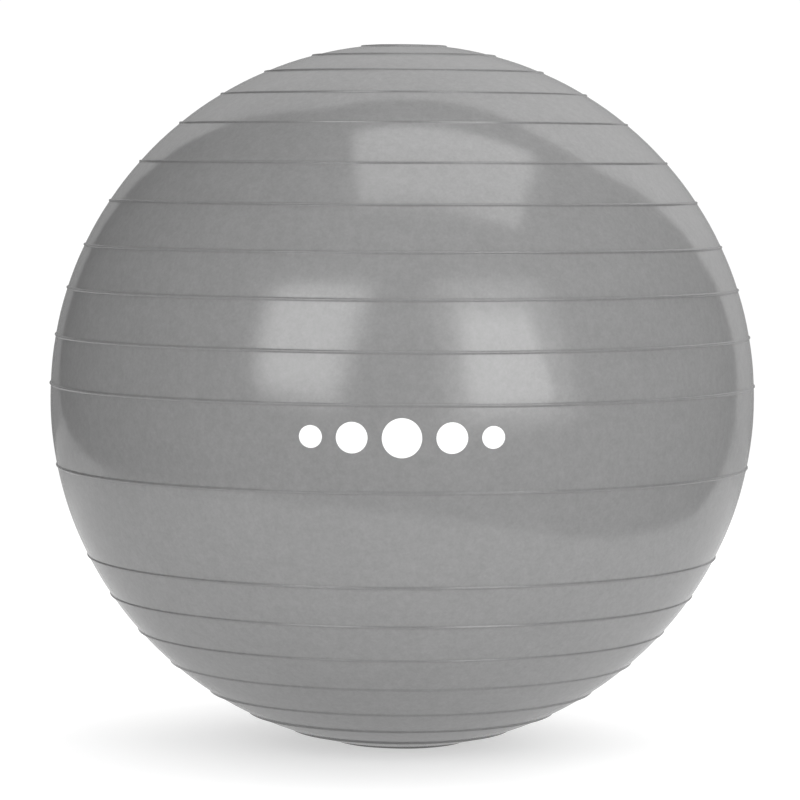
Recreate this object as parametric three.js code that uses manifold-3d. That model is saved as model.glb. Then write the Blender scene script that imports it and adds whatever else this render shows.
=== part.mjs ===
// Exercise ball: a ribbed, hollow PVC ball standing on the floor, with its valve insert and plug.
// Millimetres and degrees, +Z up. The origin is the centre of the flat patch the ball rests on.
// The valve faces +Y, tilted slightly down.
import * as THREE from "three";
import { mergeVertices } from "three/addons/utils/BufferGeometryUtils.js";
import Module from "manifold-3d";

const wasm = await Module();
wasm.setup();

const { degToRad, radToDeg } = THREE.MathUtils;

// ---- ball ----
const BALL_R = 325; // plain skin's outer radius, a 65 cm ball
const WALL = 0.85; // skin thickness
const PATCH_R = 40; // patch flattened against the floor by the ball's own weight
const PATCH_INNER_R = PATCH_R - 1; // the same patch on the skin's inner face
const CENTRE_Z = Math.sqrt(BALL_R ** 2 - PATCH_R ** 2); // ball's centre above the floor
const BALL_SEGMENTS = 56;

const RIB_H = 1.2; // how far a rib stands proud of the skin
const RIB_W = 4; // width of a rib at its foot
const HALF_RIB = radToDeg(RIB_W / 2 / BALL_R); // as an angle at the ball's centre

// Latitudes of the ribs, from the bottom up. A wide plain band lies on each side of the middle rib.
const LOW_RIBS = [-79.3, -71.8, -64.2, -56.9, -48.8, -41.4, -34.1, -26.7];
const MIDDLE_RIB = -11.1;
const HIGH_RIBS = [2.2, 10.1, 18, 25.5, 33.7, 41.7, 50.7, 58.9, 66.8, 75, 83.2];
const LOWER_BAND = (LOW_RIBS.at(-1) + MIDDLE_RIB) / 2;
const UPPER_BAND = (MIDDLE_RIB + HIGH_RIBS[0]) / 2;

// ---- valve opening; distances along the valve's axis are from the ball's centre ----
const VALVE_LAT = UPPER_BAND;
const VALVE_SEGMENTS = 32;
const BOSS_R = 20; // thickened disc of skin round the valve
const BOSS_INNER_FACE = 321.6;
const HOLE_R = 13.3; // hole in the skin that holds the insert
const CUT_END = BALL_R + 8; // cutters end here, clear of the skin
const CUT_MARGIN = 6; // how far the hole's cutter starts inside the boss
const GAP = 0.3; // left between pieces that are fused or pressed together

// ---- valve insert ----
const INSERT_FACE = 324.6; // outer face
const INSERT_LEN = 25;
const FLANGE_R = HOLE_R - GAP;
const FLANGE_BEVEL = 0.5;
const COLLAR_R = 17.5; // collar behind the skin
const COLLAR_T = 1.6;
const STEM_R = 7.2;
const STEM_BEVEL = { inset: 0.9, length: 1.2 };
const STEM_FLARE = { outset: 1.8, length: 2.2 }; // where the stem meets the collar
const BORE_R = 4.5; // outer bore, which holds the plug's barbs
const TIP_BORE_R = 3.6; // inner bore
const BORE_STEP_DEPTH = 15; // where the bore begins to narrow
const BORE_STEP_LEN = 1.2;
const RECESS_R = 8.3; // recess for the plug's head
const RECESS_DEPTH = 2;
const RECESS_BEVEL = { outset: 0.2, length: 0.3 };

// ---- valve plug; depths are below the underside of its head ----
const HEAD_R = 7.6;
const HEAD_T = 1.6;
const HEAD_BEVEL = 0.6;
const PLUG_LEN = 20; // stem length under the head
const PLUG_STEM_R = 3.85;
const PLUG_TIP_R = 3;
const PLUG_TIP_BEVEL = { inset: 0.7, length: 1.2 };
const PLUG_TAPER = { start: 14.5, end: 11.8 }; // depths where the tip widens into the stem
const BARB_R = 4.15;
const BARB_DEPTHS = [9.6, 6.8, 4];
const BARB_RAMP = 1.1; // long slope on the tip side
const BARB_BACK = 0.25; // steep slope on the head side
const NOTCH = { width: 3.4, reach: 1.6, height: 0.8, lift: 0.2 }; // lift: its middle, above H

// ---- solids and meshes ----
// A closed three.js geometry as a solid, with its seam and pole vertices merged.
function solid(geometry) {
  const bare = new THREE.BufferGeometry()
    .setAttribute("position", geometry.getAttribute("position"))
    .setIndex(geometry.index);
  const merged = mergeVertices(bare, 1e-3);
  const corners = merged.index.array;
  const triangles = [];
  for (let i = 0; i < corners.length; i += 3) {
    const [a, b, c] = corners.subarray(i, i + 3);
    if (a !== b && b !== c && a !== c) triangles.push(a, b, c);
  }
  return new wasm.Manifold(
    new wasm.Mesh({
      numProp: 3,
      vertProperties: merged.attributes.position.array,
      triVerts: new Uint32Array(triangles),
    }),
  );
}

function namedMesh(name, manifold, material) {
  const { numVert, numProp, vertProperties, triVerts } = manifold.getMesh();
  const positions = new Float32Array(numVert * 3);
  for (let i = 0; i < numVert; i++) {
    positions.set(vertProperties.subarray(i * numProp, i * numProp + 3), i * 3);
  }
  const geometry = new THREE.BufferGeometry();
  geometry.setAttribute("position", new THREE.BufferAttribute(positions, 3));
  geometry.setIndex(new THREE.BufferAttribute(new Uint32Array(triVerts), 1));
  geometry.computeVertexNormals();
  const mesh = new THREE.Mesh(geometry, material);
  mesh.name = name;
  return mesh;
}

// A profile of [radius, height] pairs turned about +Z.
// Its outer side runs from the bottom to the top.
function turned(profile, segments) {
  const points = profile.map(([radius, z]) => new THREE.Vector2(radius, z));
  return new THREE.LatheGeometry(points, segments).rotateX(Math.PI / 2);
}

// Takes a piece built along +Z from the origin onto the valve's axis, from the ball's centre.
const valveAxis = new THREE.Vector3(
  0,
  Math.cos(degToRad(VALVE_LAT)),
  Math.sin(degToRad(VALVE_LAT)),
);
const valveTurn = new THREE.Quaternion().setFromUnitVectors(
  new THREE.Vector3(0, 0, 1),
  valveAxis,
);
const valveFrame = new THREE.Matrix4().compose(
  new THREE.Vector3(0, 0, CENTRE_Z),
  valveTurn,
  new THREE.Vector3(1, 1, 1),
);

const valveSolid = (profile) =>
  solid(turned(profile, VALVE_SEGMENTS).applyMatrix4(valveFrame));

const valveDisc = (radius, from, to) =>
  valveSolid([
    [0, from],
    [radius, from],
    [radius, to],
    [0, to],
  ]);

// ---- ball shell ----
// Profile point at a latitude, at a distance from the ball's centre.
const at = (radius, lat) => [
  radius * Math.cos(degToRad(lat)),
  CENTRE_Z + radius * Math.sin(degToRad(lat)),
];

const ribPoints = (lat) => [
  at(BALL_R, lat - HALF_RIB),
  at(BALL_R + RIB_H, lat),
  at(BALL_R, lat + HALF_RIB),
];

function ballShell() {
  const outer = [
    [0, 0],
    [PATCH_R, 0],
    ...LOW_RIBS.flatMap(ribPoints),
    at(BALL_R, LOWER_BAND),
    ...ribPoints(MIDDLE_RIB),
    at(BALL_R, UPPER_BAND),
    ...HIGH_RIBS.flatMap(ribPoints),
    [0, CENTRE_Z + BALL_R],
  ];
  const innerLats = [...LOW_RIBS, LOWER_BAND, MIDDLE_RIB, UPPER_BAND, ...HIGH_RIBS];
  const inner = [
    [0, WALL],
    [PATCH_INNER_R, WALL],
    ...innerLats.map((lat) => at(BALL_R - WALL, lat)),
    [0, CENTRE_Z + BALL_R - WALL],
  ];
  // The boss is left standing by keeping its disc out of the hollow.
  const boss = valveDisc(BOSS_R, BOSS_INNER_FACE, CUT_END);
  const hollow = solid(turned(inner, BALL_SEGMENTS)).subtract(boss);
  const hole = valveDisc(HOLE_R, BOSS_INNER_FACE - CUT_MARGIN, CUT_END);
  return solid(turned(outer, BALL_SEGMENTS)).subtract(hollow).subtract(hole);
}

// ---- valve insert: a tube with a flange in the hole and a collar inside the skin ----
function valveInsert() {
  const face = INSERT_FACE;
  const tip = face - INSERT_LEN;
  const collarTop = BOSS_INNER_FACE - GAP;
  const collarBottom = collarTop - COLLAR_T;
  return valveSolid([
    [TIP_BORE_R, tip],
    [STEM_R - STEM_BEVEL.inset, tip],
    [STEM_R, tip + STEM_BEVEL.length],
    [STEM_R, collarBottom - STEM_FLARE.length],
    [STEM_R + STEM_FLARE.outset, collarBottom],
    [COLLAR_R, collarBottom],
    [COLLAR_R, collarTop],
    [FLANGE_R, collarTop],
    [FLANGE_R, face - FLANGE_BEVEL],
    [FLANGE_R - FLANGE_BEVEL, face],
    [RECESS_R + RECESS_BEVEL.outset, face],
    [RECESS_R, face - RECESS_BEVEL.length],
    [RECESS_R, face - RECESS_DEPTH],
    [BORE_R, face - RECESS_DEPTH],
    [BORE_R, face - BORE_STEP_DEPTH],
    [TIP_BORE_R, face - BORE_STEP_DEPTH - BORE_STEP_LEN],
    [TIP_BORE_R, tip],
  ]);
}

// ---- valve plug: a barbed stem with a flat head, pushed into the insert ----
function valvePlug() {
  const head = INSERT_FACE - RECESS_DEPTH + GAP; // underside of the head
  const tip = head - PLUG_LEN;
  const barbPoints = (depth) => [
    [PLUG_STEM_R, head - depth - BARB_RAMP],
    [BARB_R, head - depth],
    [PLUG_STEM_R, head - depth + BARB_BACK],
  ];
  const body = valveSolid([
    [0, tip],
    [PLUG_TIP_R - PLUG_TIP_BEVEL.inset, tip],
    [PLUG_TIP_R, tip + PLUG_TIP_BEVEL.length],
    [PLUG_TIP_R, head - PLUG_TAPER.start],
    [PLUG_STEM_R, head - PLUG_TAPER.end],
    ...BARB_DEPTHS.flatMap(barbPoints),
    [PLUG_STEM_R, head],
    [HEAD_R, head],
    [HEAD_R, head + HEAD_T - HEAD_BEVEL],
    [HEAD_R - HEAD_BEVEL, head + HEAD_T],
    [0, head + HEAD_T],
  ]);
  // A shallow notch under the head's lower edge lets a lever lift the plug.
  const notch = new THREE.BoxGeometry(NOTCH.width, NOTCH.reach, NOTCH.height)
    .translate(0, HEAD_R, head + NOTCH.lift)
    .applyMatrix4(valveFrame);
  return body.subtract(solid(notch));
}

// ---- materials ----
const plastic = ({ color, roughness }) =>
  new THREE.MeshStandardMaterial({ color, roughness, metalness: 0 });

const pvc = plastic({ color: 0x8e8e8e, roughness: 0.35 });
const softPvc = plastic({ color: 0x7f7f7f, roughness: 0.45 });
const polythene = plastic({ color: 0xf0f0ee, roughness: 0.4 });

// ---- assembly ----
const ball = new THREE.Group();
ball.add(
  namedMesh("ball_shell", ballShell(), pvc),
  namedMesh("valve_insert", valveInsert(), softPvc),
  namedMesh("valve_plug", valvePlug(), polythene),
);

export default ball;
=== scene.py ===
# A ribbed exercise ball in grey vinyl, with a valve and plug in its back and a printed row of dots
# on its front. It stands on the floor, z = 0, with its centre on the Z axis. The camera looks
# along +Y, so front is -Y, back is +Y and right is +X. Shapes are worked out in millimetres and
# turned into metres when a mesh is made. Latitudes are in degrees. Longitudes are in radians,
# counted from the front towards +X.
import math

import bmesh
import bpy
import numpy as np
from mathutils import Matrix, Vector


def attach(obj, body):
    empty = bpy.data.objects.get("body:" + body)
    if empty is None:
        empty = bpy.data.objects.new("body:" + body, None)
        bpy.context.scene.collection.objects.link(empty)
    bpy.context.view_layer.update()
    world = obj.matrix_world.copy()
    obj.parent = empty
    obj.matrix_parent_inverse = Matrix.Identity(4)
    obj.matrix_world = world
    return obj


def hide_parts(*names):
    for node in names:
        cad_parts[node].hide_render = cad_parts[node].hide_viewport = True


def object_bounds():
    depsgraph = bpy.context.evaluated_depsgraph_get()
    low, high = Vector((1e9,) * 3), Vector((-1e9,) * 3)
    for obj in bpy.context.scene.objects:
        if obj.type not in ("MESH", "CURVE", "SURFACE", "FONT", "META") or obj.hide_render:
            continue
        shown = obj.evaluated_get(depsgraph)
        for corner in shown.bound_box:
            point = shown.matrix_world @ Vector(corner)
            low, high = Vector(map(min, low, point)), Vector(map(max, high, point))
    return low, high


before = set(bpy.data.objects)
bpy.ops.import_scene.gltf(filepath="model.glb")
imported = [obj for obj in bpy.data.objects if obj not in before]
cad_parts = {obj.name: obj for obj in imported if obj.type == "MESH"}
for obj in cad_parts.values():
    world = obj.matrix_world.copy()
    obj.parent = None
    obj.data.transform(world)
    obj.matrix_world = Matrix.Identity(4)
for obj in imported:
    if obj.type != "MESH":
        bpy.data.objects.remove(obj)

cad_low, cad_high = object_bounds()

# ---------------------------------------------------------------- dimensions, mm and degrees
MM = 0.001
RADIUS = 325.0
WALL = 0.85
INNER_RADIUS = RADIUS - WALL

# latitudes of the ribs
RIBS = [-79.3, -71.8, -64.2, -56.9, -48.8, -41.4, -34.1, -26.7, -11.1, 2.2,
        10.1, 18.0, 25.5, 33.7, 41.7, 50.7, 58.9, 66.8, 75.0, 83.2]
RIB_HEIGHT = 1.2
RIB_WIDTH = 4.0
RIB_EDGE = 1.12             # where a rib's tone and its mesh rows end, in half-widths

VALVE_LAT = -4.45
BOSS_RADIUS = 20.0          # the thickened skin round the valve
BOSS_PAD = 0.25             # how far its outer face stands proud
BOSS_INNER = 321.6          # its inner face, from the ball's centre
HOLE_RADIUS = 13.3
FACE = 324.6                # outer face of the valve insert, from the ball's centre
SEAT_DEPTH = 2.0            # the recess in that face for the plug's head
HEAD_RADIUS = 7.6           # the plug's head
HEAD_UNDER = FACE - SEAT_DEPTH + 0.3    # underside of the head, from the ball's centre

# The ball's top is one radius above its centre.
CENTRE_Z = cad_high.z / MM - RADIUS
CENTRE = Vector((0.0, 0.0, CENTRE_Z * MM))

# The valve's axis points out of the back. VALVE_X and VALVE_DOWN complete its frame.
VALVE_AXIS = np.array([0.0, math.cos(math.radians(VALVE_LAT)), math.sin(math.radians(VALVE_LAT))])
VALVE_X = np.array([1.0, 0.0, 0.0])
VALVE_DOWN = np.cross(VALVE_AXIS, VALVE_X)
VALVE_FRAME = Matrix((VALVE_X, VALVE_DOWN, VALVE_AXIS)).transposed()


# ---------------------------------------------------------------- the skin's shape
# Waves along a rib: amplitude, cycles round the ball, phase per rib number, further phase.
RIB_WANDER = [(0.16, 2, 1.7, 0), (0.10, 5, 0.9, 1.0), (0.05, 9, 2.3, 0)]    # amplitude in mm
RIB_SWELL = [(0.06, 3, 2.1, 0), (0.04, 8, 1.3, 0)]      # amplitude as a share of the height


def ripple(waves, rib, lon, start):
    return sum((amplitude * np.sin(cycles * lon + (rate * rib + phase))
                for amplitude, cycles, rate, phase in waves), start)


def rib_centre(rib, lon):
    """Latitude of a rib's middle: a moulded ring is true to a few tenths of a millimetre."""
    return RIBS[rib] + np.degrees(ripple(RIB_WANDER, rib, lon, 0) / RADIUS)


def rib_shift(rib, lon):
    """How far a mesh row that follows a rib strays from its latitude."""
    return np.zeros(len(lon)) if rib is None else rib_centre(rib, lon) - RIBS[rib]


def across(rib, lat, lon):
    """How far a point lies from the middle of a rib, in half-widths of the rib."""
    return np.abs(np.radians(lat - rib_centre(rib, lon)) * RADIUS / (RIB_WIDTH / 2))


def relief(lat, lon):
    """Height of the skin above the plain sphere."""
    height = np.zeros_like(lat)
    for rib in range(len(RIBS)):
        offset = across(rib, lat, lon)
        crest = RIB_HEIGHT * ripple(RIB_SWELL, rib, lon, 0.97)
        profile = np.exp(-(1.905 * np.minimum(offset, 1)) ** 3.2)
        height = np.where(offset < 1, height + crest * profile, height)
    # Between two ribs the inflated skin stands a little prouder, more so in a wide band.
    edges = [-90.0] + RIBS + [90.0]
    for low, high in zip(edges, edges[1:]):
        t = np.clip((lat - low) / (high - low), 0, 1)
        height += 0.09 * min(2.0, (high - low) / 8.0) * (4 * t * (1 - t)) ** 2
    # Unevenness of a moulded, inflated skin, from slow to fine.
    x, y, z = sphere_xyz(lat, lon)
    height += 0.045 * np.sin(9.1 * x + 4.3 * z + 0.6) * np.sin(7.7 * y - 5.2 * z + 1.9)
    height += 0.025 * np.sin(17.3 * x - 8.1 * y + 2.2) * np.sin(15.1 * z + 6.4 * x + 0.4)
    height += 0.010 * np.sin(31.0 * y + 12.0 * z) * np.sin(29.0 * x - 14.0 * z + 1.1)
    return height


def rib_tone(lat, lon):
    """1 on a rib and 0 on the plain bands."""
    tone = np.zeros_like(lat)
    for rib in range(len(RIBS)):
        tone = np.maximum(tone, np.clip((RIB_EDGE - across(rib, lat, lon)) / 0.5, 0, 1))
    return tone


def sphere_xyz(lat, lon):
    lat = np.radians(lat)
    return np.cos(lat) * np.sin(lon), -np.cos(lat) * np.cos(lon), np.sin(lat)


def sphere_directions(lat, lon):
    return np.stack(sphere_xyz(lat, lon), -1)


def unit(vectors):
    return vectors / np.linalg.norm(vectors, axis=1)[:, None]


def lat_lon(directions):
    """Latitudes and longitudes of unit directions."""
    lat = np.degrees(np.arcsin(np.clip(directions[:, 2], -1, 1)))
    return lat, np.arctan2(directions[:, 0], -directions[:, 1])


def outer_points(directions):
    """Points on the outer skin along (n, 3) directions, flattened where the ball meets the floor."""
    directions = unit(directions)
    height = relief(*lat_lon(directions))
    # A low round pad marks the thickened skin round the valve; the relief fades out towards it.
    reach = RADIUS * np.arccos(np.clip(directions @ VALVE_AXIS, -1, 1))
    t = np.clip((BOSS_RADIUS + 1.0 - reach) / 2.0, 0, 1)
    pad = BOSS_PAD * t * t * (3 - 2 * t)
    fade = np.clip((reach - BOSS_RADIUS) / 6.0, 0, 1)
    height = np.where(reach < BOSS_RADIUS + 6, height * fade + pad, height)
    points = directions * (RADIUS + height)[:, None]
    points[:, 2] += CENTRE_Z
    z = points[:, 2]
    # A smooth bend, about 0.3 mm, between the sphere and the flat patch.
    points[:, 2] = np.where(z < 20, (z + np.sqrt(z * z + 0.3 ** 2)) / 2, z)
    return points


def inner_points(directions):
    points = unit(directions) * INNER_RADIUS
    points[:, 2] = np.maximum(points[:, 2] + CENTRE_Z, WALL)
    return points


# ---------------------------------------------------------------- rings round the valve
def valve_spokes(count):
    """Unit vectors square to the valve's axis, evenly round it."""
    angle = 2 * np.pi * np.arange(count) / count
    return np.cos(angle)[:, None] * VALVE_X + np.sin(angle)[:, None] * VALVE_DOWN


def valve_directions(radius, count):
    """Directions to a ring on the sphere, its radius measured square to the valve's axis."""
    slope = radius / math.sqrt(RADIUS * RADIUS - radius * radius)
    return VALVE_AXIS + slope * valve_spokes(count)


def valve_circle(radius, distance, count):
    """A circle about the valve's axis at a distance from the ball's centre."""
    points = VALVE_AXIS * distance + radius * valve_spokes(count)
    points[:, 2] += CENTRE_Z
    return points


def by_valve_angle(points, ring):
    """A ring's vertex numbers in order of angle round the valve's axis, and those angles."""
    offsets = np.array([points[v] for v in ring]) - np.array([0, 0, CENTRE_Z])
    angles = np.arctan2(offsets @ VALVE_DOWN, offsets @ VALVE_X)
    order = np.argsort(angles)
    return [ring[k] for k in order], [angles[k] for k in order]


def zip_rings(points, ring_a, ring_b):
    """Triangles between two closed rings of vertex numbers, walked by angle."""
    ring_a, angles_a = by_valve_angle(points, ring_a)
    ring_b, angles_b = by_valve_angle(points, ring_b)
    count_a, count_b = len(ring_a), len(ring_b)
    i = j = 0
    faces = []
    while i < count_a or j < count_b:
        next_a = angles_a[i + 1] if i + 1 < count_a else angles_a[0] + 2 * math.pi
        next_b = angles_b[j + 1] if j + 1 < count_b else angles_b[0] + 2 * math.pi
        at_a, at_b = ring_a[i % count_a], ring_b[j % count_b]
        if j >= count_b or (i < count_a and next_a <= next_b):
            faces.append((at_a, ring_a[(i + 1) % count_a], at_b))
            i += 1
        else:
            faces.append((at_a, ring_b[(j + 1) % count_b], at_b))
            j += 1
    return faces


# ---------------------------------------------------------------- mesh helpers
def link_object(name, mesh):
    obj = bpy.data.objects.new(name, mesh)
    bpy.context.scene.collection.objects.link(obj)
    return obj


def link_bmesh(name, bm):
    mesh = bpy.data.meshes.new(name)
    bm.to_mesh(mesh)
    bm.free()
    return link_object(name, mesh)


def face_outward(bm):
    bmesh.ops.recalc_face_normals(bm, faces=bm.faces)
    if bm.calc_volume(signed=True) < 0:
        bmesh.ops.reverse_faces(bm, faces=bm.faces)


def smooth_faces(mesh):
    mesh.polygons.foreach_set("use_smooth", np.ones(len(mesh.polygons), bool))


def shade(obj, angle=35):
    """Smooth shading, with edges sharper than the angle kept crisp."""
    smooth_faces(obj.data)
    bm = bmesh.new()
    bm.from_mesh(obj.data)
    for edge in bm.edges:
        if len(edge.link_faces) == 2 and edge.calc_face_angle(0) > math.radians(angle):
            edge.smooth = False
    bm.to_mesh(obj.data)
    bm.free()


# ---------------------------------------------------------------- the ball's skin
# Mesh rows across a rib, in half-widths from its middle.
RIB_STEPS = [-RIB_EDGE, -0.86, -0.66, -0.52, -0.40, -0.28, -0.15, 0,
             0.15, 0.28, 0.40, 0.52, 0.66, 0.86, RIB_EDGE]
# Latitudes of the rows below the lowest rib and above the highest.
BOTTOM_LATS = [-89.2, -87.6, -86.0, -84.9, -84.1, -83.5, -83.1, -82.9, -82.6, -82.2, -81.6, -80.7]
TOP_LATS = [84.6, 86.0, 87.4, 88.6, 89.5]
# Rows in the valve's band, in degrees from the valve.
VALVE_STEPS = [-5.6, -4.5, -3.0, -1.5, 0, 1.5, 3.0, 4.5, 5.6]
VALVE_SEGMENTS = 96
# Rings on the outer skin from the grid in to the hole: radius, number of points.
OUTER_RINGS = [(23.2, 48)] + [(radius, VALVE_SEGMENTS) for radius in
                              (21.6, 20.8, 20.0, 19.2, 17.0, 15.0, 13.9)]


def outer_rows():
    """Rows of the outer skin: latitude, and the rib the row follows or None."""
    half_width = math.degrees(RIB_WIDTH / 2 / RADIUS)
    rows = [(lat, None) for lat in BOTTOM_LATS]
    for rib, lat in enumerate(RIBS):
        rows += [(lat + half_width * step, rib) for step in RIB_STEPS]
        if rib + 1 == len(RIBS):
            between = TOP_LATS
        elif lat < VALVE_LAT < RIBS[rib + 1]:
            between = [VALVE_LAT + step for step in VALVE_STEPS]
        else:
            next_lat = RIBS[rib + 1]
            count = 11 if next_lat - lat > 12 else 5
            between = np.linspace(lat + half_width * RIB_EDGE, next_lat - half_width * RIB_EDGE,
                                  count)[1:-1]
        rows += [(between_lat, None) for between_lat in between]
    return rows


def inner_rows():
    fold = -math.degrees(math.asin((CENTRE_Z - WALL) / INNER_RADIUS))   # edge of the flat patch
    lats = [-88.5, -86.5, -84.5, fold, -80.5] + list(np.linspace(-77, -15.5, 18))
    lats += [VALVE_LAT + step for step in (-7, -3.5, 0, 3.5, 7)]
    lats += list(np.linspace(6, 88.5, 24))
    return [(lat, None) for lat in lats]


def skin_grid(rows, columns, half_columns, half_height):
    """A latitude and longitude grid with a block of cells left open round the valve.
    The block reaches half_columns cells and half_height degrees from the valve.
    Returns directions, faces and the vertices round the block."""
    lon = 2 * np.pi * np.arange(columns) / columns
    directions = np.vstack([sphere_directions(lat + rib_shift(rib, lon), lon) for lat, rib in rows]
                           + [(0.0, 0.0, -1.0), (0.0, 0.0, 1.0)])
    bottom_pole = len(rows) * columns
    top_row = bottom_pole - columns
    lats = np.array([lat for lat, _ in rows])
    low = int(np.argmin(np.abs(lats - (VALVE_LAT - half_height))))
    high = int(np.argmin(np.abs(lats - (VALVE_LAT + half_height))))
    first, last = columns // 2 - half_columns, columns // 2 + half_columns
    faces = []
    for i in range(len(rows) - 1):
        row, above = i * columns, (i + 1) * columns
        for j in range(columns):
            if low <= i < high and first <= j < last:
                continue
            k = (j + 1) % columns
            faces.append((row + j, row + k, above + k, above + j))
    for j in range(columns):
        k = (j + 1) % columns
        faces.append((bottom_pole, k, j))
        faces.append((bottom_pole + 1, top_row + j, top_row + k))
    edge = [low * columns + j for j in range(first, last + 1)]
    edge += [i * columns + last for i in range(low + 1, high + 1)]
    edge += [high * columns + j for j in range(last - 1, first - 1, -1)]
    edge += [i * columns + first for i in range(high - 1, low, -1)]
    return directions, faces, edge


def hole_circles(surface):
    """From the outer skin through the valve hole and over the thickened disc to the inner skin:
    radius, distance from the ball's centre."""
    circles = [(13.62, surface - 0.36), (13.42, surface - 0.50), (HOLE_RADIUS, surface - 0.75),
               (HOLE_RADIUS, 323.0), (HOLE_RADIUS, BOSS_INNER + 0.3),
               (13.6, BOSS_INNER), (16.5, BOSS_INNER), (19.4, BOSS_INNER),
               (20.3, BOSS_INNER + 0.5), (21.0, BOSS_INNER + 1.3)]
    return circles + [(radius, math.sqrt(INNER_RADIUS ** 2 - radius ** 2))
                      for radius in (25.5, 30.5)]


def skin_surface():
    """Points and faces of the whole skin, and the direction of each outer vertex."""
    directions, faces, ring = skin_grid(outer_rows(), 232, half_columns=3, half_height=4.5)
    points = list(outer_points(directions))
    outer = dict(enumerate(directions))

    def next_ring(ring, ring_points):
        first = len(points)
        points.extend(ring_points)
        new_ring = list(range(first, len(points)))
        faces.extend(zip_rings(points, ring, new_ring))
        return new_ring

    for radius, count in OUTER_RINGS:
        directions = valve_directions(radius, count)
        ring = next_ring(ring, outer_points(directions))
        outer.update(zip(ring, directions))
    rim = np.array([points[v] for v in ring]) - np.array([0, 0, CENTRE_Z])
    surface = float(np.mean(np.linalg.norm(rim, axis=1)))
    for radius, distance in hole_circles(surface):
        ring = next_ring(ring, valve_circle(radius, distance, VALVE_SEGMENTS))

    # The inner skin, coarser, joined to the thickened disc.
    directions, inner_faces, edge = skin_grid(inner_rows(), 96, half_columns=2, half_height=7)
    first = len(points)
    points.extend(inner_points(directions))
    faces += [tuple(v + first for v in reversed(face)) for face in inner_faces]
    faces += zip_rings(points, ring, [v + first for v in edge])
    return points, faces, outer


def outer_normals(directions):
    """Exact normals of the outer skin, measured over a short step each way."""
    side = np.cross(directions, np.array([0.0, 0.0, 1.0]))
    side[np.linalg.norm(side, axis=1) < 1e-6] = (1, 0, 0)     # at the poles
    side = unit(side)
    upward = np.cross(side, directions)
    step = 0.12 / RADIUS
    normals = unit(np.cross(
        outer_points(directions + step * side) - outer_points(directions - step * side),
        outer_points(directions + step * upward) - outer_points(directions - step * upward)))
    return normals * np.sign(np.sum(normals * directions, axis=1))[:, None]


def ball_skin():
    points, faces, outer = skin_surface()
    # Grid vertices inside the open block belong to no face and are left out.
    kept = sorted(set(v for face in faces for v in face))
    number = {v: k for k, v in enumerate(kept)}
    mesh = bpy.data.meshes.new("ball_skin")
    mesh.from_pydata([tuple(points[v] * MM) for v in kept], [],
                     [tuple(number[v] for v in face) for face in faces])
    mesh.validate()
    bm = bmesh.new()
    bm.from_mesh(mesh)
    face_outward(bm)
    bm.to_mesh(mesh)
    bm.free()
    smooth_faces(mesh)

    # Exact outer normals let the reflections run smoothly over long, narrow faces.
    automatic = np.zeros(len(mesh.vertices) * 3, np.float32)
    mesh.vertex_normals.foreach_get("vector", automatic)
    normals = automatic.reshape(-1, 3).astype(float)
    outer_kept = [v for v in kept if v in outer]
    outer_numbers = [number[v] for v in outer_kept]
    directions = unit(np.array([outer[v] for v in outer_kept], float))
    normals[outer_numbers] = outer_normals(directions)
    mesh.normals_split_custom_set_from_vertices([tuple(normal) for normal in normals])

    # The rib mask darkens the ribs, with assumed pigment and painted shade, and roughens them.
    tone = np.zeros(len(mesh.vertices), np.float32)
    tone[outer_numbers] = rib_tone(*lat_lon(directions))
    mesh.attributes.new("rib", "FLOAT", "POINT").data.foreach_set("value", tone)
    return link_object("ball_skin", mesh)


# ---------------------------------------------------------------- turned pieces of the valve
def place_at_valve(bm):
    """From the valve's frame, in mm from the ball's centre, to the scene in metres."""
    for vert in bm.verts:
        vert.co = (VALVE_FRAME @ vert.co + Vector((0, 0, CENTRE_Z))) * MM


def turned(name, profile, segments=96):
    """(radius, distance) points turned about the valve's axis. The profile closes on itself
    unless it starts on the axis."""
    bm = bmesh.new()
    rings = []
    for radius, z in profile:
        if radius < 1e-6:
            rings.append([bm.verts.new((0, 0, z))])
            continue
        angles = [2 * math.pi * k / segments for k in range(segments)]
        rings.append([bm.verts.new((radius * math.cos(angle), radius * math.sin(angle), z))
                      for angle in angles])
    pairs = list(zip(rings, rings[1:]))
    if profile[0][0] > 1e-6:
        pairs.append((rings[-1], rings[0]))
    for a, b in pairs:
        for k in range(segments):
            m = (k + 1) % segments
            if len(a) == 1:
                bm.faces.new((a[0], b[k], b[m]))
            elif len(b) == 1:
                bm.faces.new((a[k], a[m], b[0]))
            else:
                bm.faces.new((a[k], a[m], b[m], b[k]))
    face_outward(bm)
    place_at_valve(bm)
    return link_bmesh(name, bm)


def rounded(stations, steps=4):
    """The closed profile through (radius, distance, rounding) stations, with rounded corners."""
    corners = [np.array(station[:2], float) for station in stations]
    profile = []
    for i, (corner, station) in enumerate(zip(corners, stations)):
        rounding = station[2]
        if rounding <= 0:
            profile.append(tuple(corner))
            continue
        back = corners[i - 1] - corner
        ahead = corners[(i + 1) % len(corners)] - corner
        back_length, ahead_length = np.linalg.norm(back), np.linalg.norm(ahead)
        back, ahead = back / back_length, ahead / ahead_length
        half_angle = math.acos(max(-1, min(1, float(back @ ahead)))) / 2
        cut = min(rounding / max(math.tan(half_angle), 1e-3),
                  0.45 * back_length, 0.45 * ahead_length)
        for k in range(steps + 1):
            s = k / steps
            profile.append(tuple((1 - s) ** 2 * (corner + back * cut) + 2 * s * (1 - s) * corner
                                 + s * s * (corner + ahead * cut)))
    return profile


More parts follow.
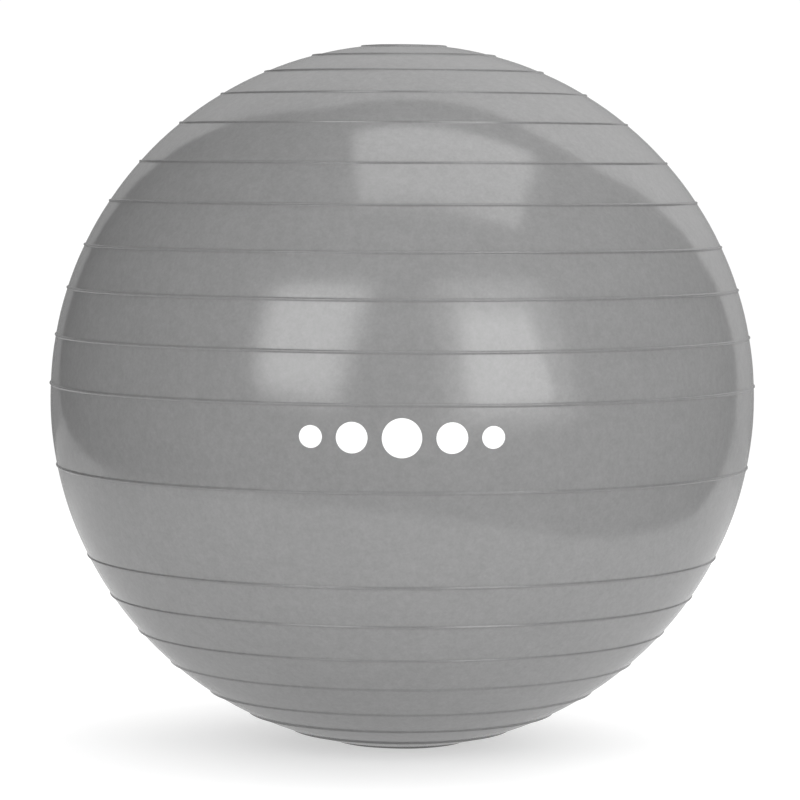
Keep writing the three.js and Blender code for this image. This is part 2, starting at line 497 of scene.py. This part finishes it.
def valve_insert():
    """A tube with a flange against the boss's inner face and a recess for the plug's head."""
    flange = BOSS_INNER - 0.3
    seat = FACE - SEAT_DEPTH
    # radius, distance from the ball's centre, corner rounding
    stations = [
        (3.6, FACE - 25, 0.3), (6.3, FACE - 25, 0.3), (7.2, FACE - 23.8, 0.3),
        (7.2, flange - 3.8, 0.8), (9.0, flange - 1.6, 0.8), (17.5, flange - 1.6, 0.5),
        (17.5, flange, 0.4), (13.0, flange, 0.2), (13.0, FACE, 0.5), (8.3, FACE, 0.28),
        (8.3, seat, 0.15), (4.5, seat, 0.3), (4.5, FACE - 15, 0.3), (3.6, FACE - 16.2, 0.3)]
    obj = turned("valve_insert_finished", rounded(stations))
    shade(obj)
    return obj


def cut_notch(plug):
    """Cuts a notch into the underside of the head, at its lowest edge."""
    bm = bmesh.new()
    bmesh.ops.create_cube(bm, size=1)
    for vert in bm.verts:
        x, y, z = vert.co
        vert.co = Vector((x * 3.4, y * 1.6 + HEAD_RADIUS, z * 0.8 + HEAD_UNDER + 0.2))
    place_at_valve(bm)
    cutter = link_bmesh("notch", bm)
    modifier = plug.modifiers.new("notch", "BOOLEAN")
    modifier.operation = "DIFFERENCE"
    modifier.object = cutter
    modifier.solver = "EXACT"
    bpy.context.view_layer.update()
    depsgraph = bpy.context.evaluated_depsgraph_get()
    cut_mesh = bpy.data.meshes.new_from_object(plug.evaluated_get(depsgraph))
    plug.modifiers.clear()
    plug.data = cut_mesh
    bpy.data.objects.remove(cutter)


def valve_plug():
    """A tapered stem with three barbs under a flat head that has a shallow ring sunk in it."""
    under = HEAD_UNDER
    top = under + 1.6
    sunk = under + 1.42
    # radius, distance from the ball's centre, corner rounding
    stations = [(0, under - 20, 0), (2.4, under - 20, 0.4), (3.0, under - 18.8, 0.3),
                (3.0, under - 14.5, 0.3), (3.85, under - 11.8, 0.3)]
    for depth in (9.6, 6.8, 4.0):
        stations += [(3.85, under - depth - 1.1, 0.1), (4.15, under - depth, 0.08),
                     (3.85, under - depth + 0.25, 0.08)]
    stations += [(3.85, under, 0.2), (HEAD_RADIUS, under, 0.25), (HEAD_RADIUS, top, 0.5),
                 (5.2, top, 0.1), (5.0, sunk, 0.1), (1.5, sunk, 0.1), (1.2, top, 0.1), (0, top, 0)]
    profile = rounded(stations)
    profile = [point for k, point in enumerate(profile)
               if k == 0 or math.dist(point, profile[k - 1]) > 1e-4]
    obj = turned("valve_plug_finished", profile)
    cut_notch(obj)
    shade(obj)
    return obj


# ---------------------------------------------------------------- the printed mark
PRINT_LAT = -2.65
INK = 0.12                  # thickness of the ink
INK_ROOT = -0.2             # how deep the dots' backs lie in the skin
DOTS = [20.0, 27.0, 34.0, 27.0, 20.0]   # diameters
DOT_GAP = 12.0
DOT_SEGMENTS = 72


def add_dot(bm, dot_x, radius):
    """A disc of raised ink that follows the skin, centred dot_x along the row."""
    centre = sphere_directions(np.array([PRINT_LAT]), np.array([0.0]))[0]
    east = np.array([1.0, 0.0, 0.0])
    north = np.cross(centre, east)

    def vertex(reach, angle, lift):
        along = (dot_x + reach * math.cos(angle)) / RADIUS
        up = reach * math.sin(angle) / RADIUS
        direction = centre + math.tan(along) * east + math.tan(up) * north
        direction = (direction / np.linalg.norm(direction))[None]
        point = outer_points(direction)[0] + direction[0] * lift
        return bm.verts.new(Vector(tuple(point * MM)))

    # distance from the dot's middle, height above the skin
    levels = [(0.0, INK), (radius * 0.2, INK), (radius * 0.4, INK), (radius * 0.6, INK),
              (radius * 0.8, INK), (radius - 0.25, INK), (radius - 0.08, INK * 0.8),
              (radius, 0.0), (radius, INK_ROOT), (radius * 0.6, INK_ROOT), (0.0, INK_ROOT)]
    rings = []
    for reach, lift in levels:
        count = DOT_SEGMENTS if reach else 1
        rings.append([vertex(reach, 2 * math.pi * k / DOT_SEGMENTS, lift) for k in range(count)])
    for a, b in zip(rings, rings[1:]):
        for k in range(DOT_SEGMENTS):
            m = (k + 1) % DOT_SEGMENTS
            if len(a) == 1:
                bm.faces.new((a[0], b[k], b[m]))
            elif len(b) == 1:
                bm.faces.new((a[m], a[k], b[0]))
            else:
                bm.faces.new((a[k], b[k], b[m], a[m]))


def printed_mark():
    """A row of five dots, largest in the middle."""
    bm = bmesh.new()
    x = -(sum(DOTS) + DOT_GAP * (len(DOTS) - 1)) / 2
    for size in DOTS:
        add_dot(bm, x + size / 2, size / 2)
        x += size + DOT_GAP
    face_outward(bm)
    obj = link_bmesh("printed_mark", bm)
    shade(obj, 30)
    return obj


# ---------------------------------------------------------------- shader helpers
def new_material(name):
    material = bpy.data.materials.new(name)
    material.use_nodes = True
    material.node_tree.nodes.clear()
    return material, material.node_tree


def node(tree, kind, inputs=None, **settings):
    """A shader node. Each of its inputs is given a value or another node's output."""
    made = tree.nodes.new("ShaderNode" + kind)
    for key, value in settings.items():
        setattr(made, key, value)
    for key, value in (inputs or {}).items():
        if isinstance(value, bpy.types.NodeSocket):
            tree.links.new(value, made.inputs[key])
        else:
            made.inputs[key].default_value = value
    return made


def output(tree, shader):
    node(tree, "OutputMaterial", {"Surface": shader})


def maths(tree, operation, a, b=None):
    inputs = {0: a} if b is None else {0: a, 1: b}
    return node(tree, "Math", inputs, operation=operation).outputs[0]


def add(tree, a, b):
    return maths(tree, "ADD", a, b)


def subtract(tree, a, b):
    return maths(tree, "SUBTRACT", a, b)


def multiply(tree, a, b):
    return maths(tree, "MULTIPLY", a, b)


def distance(tree, x, y):
    return maths(tree, "SQRT", add(tree, multiply(tree, x, x), multiply(tree, y, y)))


def separate(tree, vector):
    return node(tree, "SeparateXYZ", {0: vector}).outputs


def ramp(tree, value, start, end):
    """A smooth rise from 0 at start to 1 at end."""
    return node(tree, "MapRange", {"Value": value, "From Min": start, "From Max": end},
                interpolation_type="SMOOTHSTEP").outputs[0]


def emission(tree, strength):
    return node(tree, "Emission", {"Strength": strength}).outputs[0]


def mix(tree, factor, first, second):
    return node(tree, "MixShader", {0: factor, 1: first, 2: second}).outputs[0]


def noise(tree, scale, detail, roughness=0.5):
    coords = node(tree, "TexCoord").outputs["Object"]
    return node(tree, "TexNoise", {"Vector": coords, "Scale": scale, "Detail": detail,
                                   "Roughness": roughness}).outputs["Fac"]


def spread(tree, low, high, **texture):
    """Noise sits mostly in 0.3 to 0.7, so that span is stretched to low..high."""
    return node(tree, "MapRange", {"Value": noise(tree, **texture), "From Min": 0.3,
                                   "From Max": 0.7, "To Min": low, "To Max": high}).outputs[0]


def shaded_grey(tree, tone, albedo):
    """The albedo, varied by a share of itself."""
    return multiply(tree, add(tree, tone, 1.0), albedo)


def principled(tree, value, roughness, height, bump_strength, bump_distance, inputs):
    colour = node(tree, "CombineColor", {0: value, 1: value, 2: value}).outputs[0]
    normal = node(tree, "Bump", {"Strength": bump_strength, "Distance": bump_distance,
                                 "Height": height}).outputs[0]
    shader = node(tree, "BsdfPrincipled", {"Base Color": colour, "Roughness": roughness,
                                           "Normal": normal, **inputs})
    output(tree, shader.outputs[0])


def plain_material(name, albedo, tone, roughness, grain, bump_strength, bump_distance, inputs):
    """A grey material. tone, roughness and grain are the noises behind its three variations."""
    material, tree = new_material(name)
    principled(tree, shaded_grey(tree, spread(tree, **tone), albedo), spread(tree, **roughness),
               noise(tree, **grain), bump_strength, bump_distance, inputs)
    return material


# ---------------------------------------------------------------- materials
def ball_vinyl():
    material, tree = new_material("ball_vinyl")
    broad = spread(tree, -0.018, 0.018, scale=9.0, detail=2.0)
    cloud = spread(tree, -0.022, 0.022, scale=60.0, detail=3.0)
    speck = spread(tree, -0.045, 0.045, scale=420.0, detail=2.0, roughness=0.6)
    mottle = spread(tree, -0.042, 0.042, scale=165.0, detail=2.0)
    tone = add(tree, add(tree, broad, cloud), add(tree, mottle, speck))
    # The ribs are darker and less glossy. Their darkening is partly an assumed denser pigment and
    # partly painted shade, the self-shadow along each rib.
    rib = node(tree, "Attribute", attribute_name="rib").outputs["Fac"]
    rib_pigment_and_shade = subtract(tree, 1.0, multiply(tree, rib, 0.13))
    value = multiply(tree, shaded_grey(tree, tone, albedo=0.209), rib_pigment_and_shade)
    roughness = add(tree, spread(tree, 0.10, 0.14, scale=26.0, detail=3.0),
                    multiply(tree, rib, 0.09))
    grain = add(tree, multiply(tree, noise(tree, scale=260.0, detail=2.0), 0.6),
                multiply(tree, noise(tree, scale=900.0, detail=2.0), 0.25))
    # The coat is the haze round a highlight on soft vinyl.
    principled(tree, value, roughness, grain, bump_strength=0.10, bump_distance=0.0006,
               inputs={"IOR": 1.50, "Coat Weight": 0.22, "Coat Roughness": 0.34})
    return material


def valve_vinyl():
    return plain_material(
        "valve_vinyl", albedo=0.165,
        tone=dict(low=-0.05, high=0.05, scale=300.0, detail=3.0),
        roughness=dict(low=0.30, high=0.42, scale=500.0, detail=2.0),
        grain=dict(scale=1500.0, detail=3.0), bump_strength=0.15, bump_distance=0.0003,
        inputs={"IOR": 1.50})


def plug_plastic():
    return plain_material(
        "plug_plastic", albedo=0.66,
        tone=dict(low=-0.03, high=0.02, scale=350.0, detail=3.0),
        roughness=dict(low=0.26, high=0.36, scale=700.0, detail=2.0),
        grain=dict(scale=1800.0, detail=2.0), bump_strength=0.12, bump_distance=0.0002,
        inputs={"IOR": 1.52, "Subsurface Weight": 0.12, "Subsurface Scale": 0.002})


def print_ink():
    return plain_material(
        "print_ink", albedo=0.86,
        tone=dict(low=-0.035, high=0.02, scale=500.0, detail=4.0, roughness=0.6),
        roughness=dict(low=0.30, high=0.42, scale=220.0, detail=3.0),
        grain=dict(scale=1300.0, detail=3.0), bump_strength=0.18, bump_distance=0.0002,
        inputs={"IOR": 1.48})


# ---------------------------------------------------------------- the object
def fit(piece, material, rides, replaces=None):
    piece.data.materials.clear()
    piece.data.materials.append(material)
    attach(piece, rides)
    if replaces:
        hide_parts(replaces)


fit(ball_skin(), ball_vinyl(), rides="ball", replaces="ball_shell")
fit(printed_mark(), print_ink(), rides="ball")
fit(valve_insert(), valve_vinyl(), rides="ball", replaces="valve_insert")
fit(valve_plug(), plug_plastic(), rides="plug", replaces="valve_plug")


# ---------------------------------------------------------------- the studio, metres
def polygon(name, corners, order):
    mesh = bpy.data.meshes.new(name)
    mesh.from_pydata(corners, [], [tuple(order)])
    return mesh


def hang(name, mesh, material, diffuse=True):
    """Stages a luminous panel that neither the camera nor shadows see.
    diffuse says whether it lights matt surfaces as well as being reflected."""
    obj = link_object(name, mesh)
    obj.data.materials.append(material)
    obj.visible_camera = False
    obj.visible_shadow = False
    obj.visible_diffuse = diffuse


def soft_edge(tree, uv, inset, width):
    """1 inside the card, falling to 0 at its edges. inset is how far in the fall ends and width
    how wide it is, each for the sides u = 0, u = 1, v = 0 and v = 1."""
    u, v, _ = separate(tree, uv)
    sides = (u, subtract(tree, 1.0, u), v, subtract(tree, 1.0, v))
    total = None
    for side, start, reach in zip(sides, inset, width):
        fall = ramp(tree, side, start, start + reach)
        total = fall if total is None else multiply(tree, total, fall)
    return total


def card(name, corners, strength, width, inset=(0, 0, 0, 0), spill=None):
    """A four-cornered luminous card with soft edges. spill is the share of its light that
    spreads past its edges, and how wide that spread is on each side."""
    mesh = polygon(name, corners, range(4))
    uv_layer = mesh.uv_layers.new(name="UVMap")
    for k, corner in enumerate(((0, 0), (1, 0), (1, 1), (0, 1))):
        uv_layer.data[k].uv = corner
    material, tree = new_material(name)
    uv = node(tree, "TexCoord").outputs["UV"]
    level = soft_edge(tree, uv, inset, width)
    if spill:
        share, reach = spill
        level = add(tree, multiply(tree, level, 1 - share),
                    multiply(tree, soft_edge(tree, uv, (0, 0, 0, 0), reach), share))
    output(tree, emission(tree, multiply(tree, level, strength)))
    hang(name, mesh, material)


card("softbox_left",
     [(-1.564, -1.445, 0.335), (-0.544, -2.036, 0.12),
      (-0.091, -1.729, 1.691), (-1.365, -1.132, 1.544)],
     strength=4.1, width=(0.24, 0.31, 0.22, 0.28))
card("softbox_right",
     [(0.355, -2.154, 0.029), (2.036, -1.23, 0.076),
      (1.448, -1.073, 1.604), (0.125, -1.741, 1.753)],
     strength=4.45, width=(0.12, 0.05, 0.12, 0.18), inset=(0.20, 0.25, 0.12, 0.155),
     spill=(0.34, (0.22, 0.24, 0.14, 0.14)))
card("overhead",
     [(-0.40, -1.00, 1.95), (1.17, -1.05, 1.95), (0.96, 0.14, 1.95), (-0.33, 0.05, 1.95)],
     strength=2.3, width=(0.03, 0.08, 0.22, 0.06))

# The sweep's outline, (x, z).
SWEEP_Y = 2.5
SWEEP_OUTLINE = [
    (-2.8, -0.25), (-2.8, -0.7), (3.5, -0.9), (3.15, -0.60), (2.78, -0.18), (2.62, 0.10),
    (2.47, 0.40), (2.50, 0.80), (2.56, 1.10), (2.76, 1.45), (2.90, 1.83), (3.13, 2.35),
    (3.50, 3.34), (3.75, 3.84), (4.02, 4.70), (4.10, 5.35), (3.92, 5.95), (3.50, 6.30),
    (1.0, 6.42), (-1.81, 6.45), (-2.0, 4.2), (-1.84, 2.8), (-1.72, 1.9), (-1.58, 1.4),
    (-1.56, 1.0), (-1.66, 0.75), (-1.66, 0.50), (-1.74, 0.36), (-1.88, 0.20), (-2.16, 0.05),
    (-2.42, -0.07)]
# Its brightness straight behind the ball, and the rise per metre outward, up and to the right.
SWEEP_LEVEL, SWEEP_OUTWARD, SWEEP_UP, SWEEP_RIGHT = 0.17, 0.112, 0.125, 0.05


def sweep():
    """The pale sweep behind the ball, brighter away from its middle. Only reflections see it."""
    mesh = polygon("sweep", [(x, SWEEP_Y, z) for x, z in SWEEP_OUTLINE],
                   range(len(SWEEP_OUTLINE)))
    material, tree = new_material("sweep")
    x, _, z = separate(tree, node(tree, "NewGeometry").outputs["Position"])
    outward = distance(tree, x, subtract(tree, z, 0.32))
    level = add(tree, multiply(tree, outward, SWEEP_OUTWARD), SWEEP_LEVEL)
    # The rises up and to the right stop at these distances.
    for along, limit, rise in ((z, 2.4, SWEEP_UP), (x, 2.6, SWEEP_RIGHT)):
        level = add(tree, level, multiply(tree, maths(tree, "MINIMUM", along, limit), rise))
    output(tree, emission(tree, level))
    hang("sweep", mesh, material, diffuse=False)


def flag():
    """A grey flag across the studio at the ball's middle. It keeps the front boxes out of the
    back half's reflections, and is clear from the camera's side."""
    mesh = polygon("flag", [(-3, 0, 0), (3, 0, 0), (3, 0, 1.3), (-3, 0, 1.3)], (3, 2, 1, 0))
    material, tree = new_material("flag")
    backfacing = node(tree, "NewGeometry").outputs["Backfacing"]
    clear = node(tree, "BsdfTransparent").outputs[0]
    output(tree, mix(tree, backfacing, emission(tree, 0.45), clear))
    hang("flag", mesh, material, diffuse=False)


sweep()
flag()


def fill_light(name, location, power, size=1.6):
    """Light for the back half, which the front boxes don't reach. It isn't reflected."""
    light = bpy.data.lights.new(name, "AREA")
    light.shape = "SQUARE"
    light.size = size
    light.energy = power
    obj = link_object(name, light)
    obj.location = location
    obj.rotation_mode = "QUATERNION"
    obj.rotation_quaternion = (CENTRE - Vector(location)).to_track_quat("-Z", "Y")
    obj.visible_glossy = False


fill_light("fill_back_left", (-2.2, 2.6, 1.7), power=14.0)
fill_light("fill_back_right", (2.2, 2.6, 1.7), power=15.0)

# ---------------------------------------------------------------- the floor
BACKDROP = 1.03             # brightness of the far floor and of the surroundings
ROOM = 0.06                 # brightness of the dark room in reflections
FLOOR_GREY = 0.62
SHEET_GREY = 0.40           # how much light the sheet under the ball sends back
FLOOR_GLOW = 0.50
# The sheet's front edge, (x, y): a curve that comes nearest the camera at x = 0.
SHEET_EDGE = [
    (-2.55, 3.04), (-2.04, 2.03), (-1.78, 1.51), (-1.59, 1.03), (-1.41, 0.68), (-1.25, 0.37),
    (-1.11, 0.13), (-0.85, -0.37), (-0.60, -0.59), (-0.28, -0.70), (0.0, -0.70), (0.23, -0.60),
    (0.36, -0.47), (0.49, -0.31), (0.63, -0.11), (0.78, 0.14), (1.0, 0.44), (1.16, 0.66),
    (1.48, 1.03), (1.85, 1.51), (2.44, 2.27)]
# The curve node works in 0..1, so x and y are shifted and divided by these spans.
EDGE_SHIFT_X, EDGE_SPAN_X = 2.6, 5.2
EDGE_SHIFT_Y, EDGE_SPAN_Y = 1.0, 4.2


def sheet_edge(tree, x):
    """The y of the sheet's front edge at x."""
    curve = node(tree, "FloatCurve", {
        "Value": maths(tree, "DIVIDE", add(tree, x, EDGE_SHIFT_X), EDGE_SPAN_X)})
    points = curve.mapping.curves[0].points
    for k, (edge_x, edge_y) in enumerate(SHEET_EDGE):
        place = ((edge_x + EDGE_SHIFT_X) / EDGE_SPAN_X, (edge_y + EDGE_SHIFT_Y) / EDGE_SPAN_Y)
        if k < 2:           # a new curve already has two points
            points[k].location = place
        else:
            points.new(*place)
    curve.mapping.update()
    return subtract(tree, multiply(tree, curve.outputs[0], EDGE_SPAN_Y), EDGE_SHIFT_Y)


def lit_surface(tree, grey, glow):
    pale = node(tree, "BsdfDiffuse", {"Color": (grey, grey, grey, 1)}).outputs[0]
    return node(tree, "AddShader", {0: pale, 1: glow}).outputs[0]


def floor_material():
    material, tree = new_material("floor")
    geometry = node(tree, "NewGeometry").outputs
    x, y, _ = separate(tree, geometry["Position"])
    away = distance(tree, x, y)
    glow = emission(tree, FLOOR_GLOW)
    # Seen directly, the floor fades into the pale surroundings far off.
    seen = mix(tree, ramp(tree, away, 0.9, 3.2), lit_surface(tree, FLOOR_GREY, glow),
               emission(tree, BACKDROP))
    # Mirrored, it is a pale sheet in a dark room. The sheet is painted dimmer beside and behind the
    # ball, and dimmer again with distance: painted shade, a chosen tone rather than a computed
    # shadow.
    sheet = ramp(tree, subtract(tree, y, sheet_edge(tree, x)), -0.03, 0.05)
    behind = ramp(tree, y, -0.35, 0.12)
    depth = add(tree, multiply(tree, ramp(tree, away, 1.0, 1.9), 0.29), 0.27)
    dimmed = subtract(tree, 1.0, multiply(tree, behind, depth))
    mirrored = mix(tree, multiply(tree, sheet, dimmed), emission(tree, ROOM),
                   lit_surface(tree, SHEET_GREY, glow))
    is_glossy = node(tree, "LightPath").outputs["Is Glossy Ray"]
    # From below, the floor isn't there.
    clear = node(tree, "BsdfTransparent").outputs[0]
    output(tree, mix(tree, geometry["Backfacing"], mix(tree, is_glossy, seen, mirrored), clear))
    return material


def floor():
    bm = bmesh.new()
    bmesh.ops.create_circle(bm, cap_ends=True, segments=128, radius=14.0)
    for vert in bm.verts:
        vert.co.z = -0.0003
    obj = link_bmesh("floor", bm)
    obj.data.materials.append(floor_material())


floor()

# ---------------------------------------------------------------- the world
# Soft light, stronger from above, the right and the back: even part, then tilt along x, y, z.
AMBIENT_EVEN = 0.12
AMBIENT_TILT = (0.78, 0.38, 1.78)


def studio_world():
    """White to the camera, nearly dark in reflections, soft light on matt surfaces."""
    world = bpy.data.worlds.new("studio")
    bpy.context.scene.world = world
    world.use_nodes = True
    tree = world.node_tree
    tree.nodes.clear()
    white = (1, 1, 1, 1)
    path = node(tree, "LightPath").outputs
    seen = node(tree, "Background", {"Color": white, "Strength": BACKDROP}).outputs[0]
    room = node(tree, "Background", {"Color": white, "Strength": ROOM}).outputs[0]
    direction = separate(tree, node(tree, "TexCoord").outputs["Generated"])
    level = AMBIENT_EVEN
    for k, tilt in enumerate(AMBIENT_TILT):
        level = add(tree, multiply(tree, direction[k], tilt), level)
    # The soft light keeps the node's own default colour.
    ambient = node(tree, "Background", {"Strength": maths(tree, "MAXIMUM", level, 0.0)}).outputs[0]
    soft = mix(tree, path["Is Diffuse Ray"], room, ambient)
    node(tree, "OutputWorld", {"Surface": mix(tree, path["Is Camera Ray"], soft, seen)})


studio_world()

# ---------------------------------------------------------------- the camera
PITCH = math.radians(3.66)              # looking down
ROLL = math.radians(0.29)
CAMERA_DISTANCE = 10.51 * RADIUS * MM   # from the ball's centre


def add_camera():
    data = bpy.data.cameras.new("camera")
    data.sensor_width = 36.0
    data.lens = 165.6
    data.shift_x = -0.00275
    data.shift_y = -0.00525
    data.clip_start = 0.05
    data.clip_end = 60.0
    camera = link_object("camera", data)
    look = Vector((0.0, math.cos(PITCH), -math.sin(PITCH)))
    camera.location = CENTRE - look * CAMERA_DISTANCE
    camera.rotation_mode = "QUATERNION"
    roll = Matrix.Rotation(ROLL, 3, "Z").to_quaternion()
    camera.rotation_quaternion = look.to_track_quat("-Z", "Y") @ roll
    bpy.context.scene.camera = camera


add_camera()

view = bpy.context.scene.view_settings
view.view_transform = "Standard"
view.look = "None"
view.exposure = 0.0
view.gamma = 1.0
